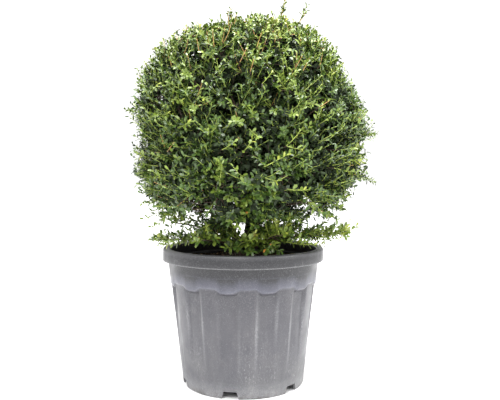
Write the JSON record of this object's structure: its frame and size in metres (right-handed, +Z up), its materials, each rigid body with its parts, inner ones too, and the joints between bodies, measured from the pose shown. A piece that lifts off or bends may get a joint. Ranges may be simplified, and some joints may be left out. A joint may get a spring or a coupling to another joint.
{
  "type": "potted box topiary ball",
  "caption": "Evergreen box shrub clipped to a dense leafy ball on short stems, growing in a tall round fluted plastic nursery pot full of compost.",
  "frame": {"origin": "centre of the pot's underside, on the flat end of its middle foot, which stands on the ground with the foot ring", "axes": "+Z up along the pot's axis; the side that the ball leans to is +X, and the front is -Y"},
  "size_m": [0.6486, 0.6148, 0.9863],
  "materials": {
    "container": "weathered grey moulded plastic",
    "soil": "dark crumbly compost",
    "bark": "rough grey-brown bark",
    "ball_foliage": "small glossy dark green leaves",
    "low_foliage": "small glossy mid green leaves"
  },
  "bodies": {
    "root": {"container": "container", "soil": "soil", "trunk": "bark", "bough_leader": "bark", "bough_side_1": "bark", "bough_side_2": "bark", "bough_side_3": "bark", "bough_side_4": "bark", "bough_side_5": "bark", "bough_low_front": "bark", "bough_low_front_right": "bark", "bough_low_right": "bark", "bough_low_back_right": "bark", "bough_low_back": "bark", "bough_low_back_left": "bark", "bough_low_left_low": "bark", "bough_low_left_high": "bark", "bough_low_front_left": "bark", "crown_ball": "ball_foliage", "low_spray_front": "low_foliage", "low_spray_front_right": "low_foliage", "low_spray_right": "low_foliage", "low_spray_back_right": "low_foliage", "low_spray_back": "low_foliage", "low_spray_back_left": "low_foliage", "low_spray_left_low": "low_foliage", "low_spray_left_high": "low_foliage", "low_spray_front_left": "low_foliage"}
  },
  "joints": []
}
